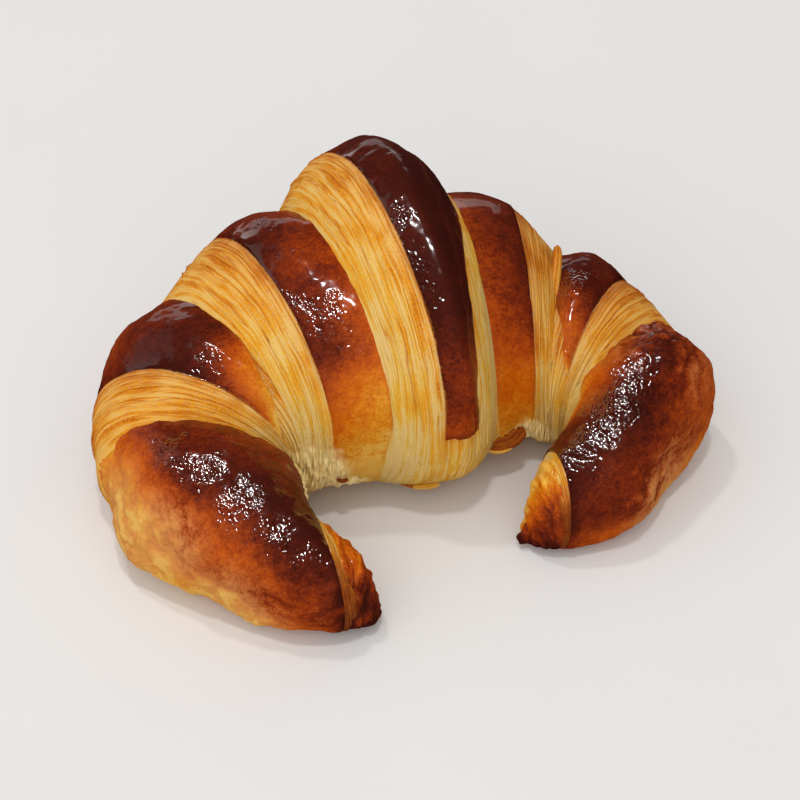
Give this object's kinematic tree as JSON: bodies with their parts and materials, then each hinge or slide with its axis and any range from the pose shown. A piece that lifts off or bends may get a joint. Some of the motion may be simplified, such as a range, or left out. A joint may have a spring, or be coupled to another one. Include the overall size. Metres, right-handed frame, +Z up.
{
  "type": "croissant",
  "caption": "Curved butter croissant: a crescent of overlapping laminated dough wraps with a tall middle, two inward-bent horns and a flat base.",
  "frame": {"origin": "on the table, under the middle of the bounding box", "axes": "+X along the croissant's span towards its right horn, +Y towards its back, away from the gap between the horns, +Z up"},
  "size_m": [0.1417, 0.1087, 0.0708],
  "materials": {
    "crust": "egg-washed browned crust with paler flaky cut edges"
  },
  "bodies": {
    "root": {"croissant": "crust"}
  },
  "joints": []
}
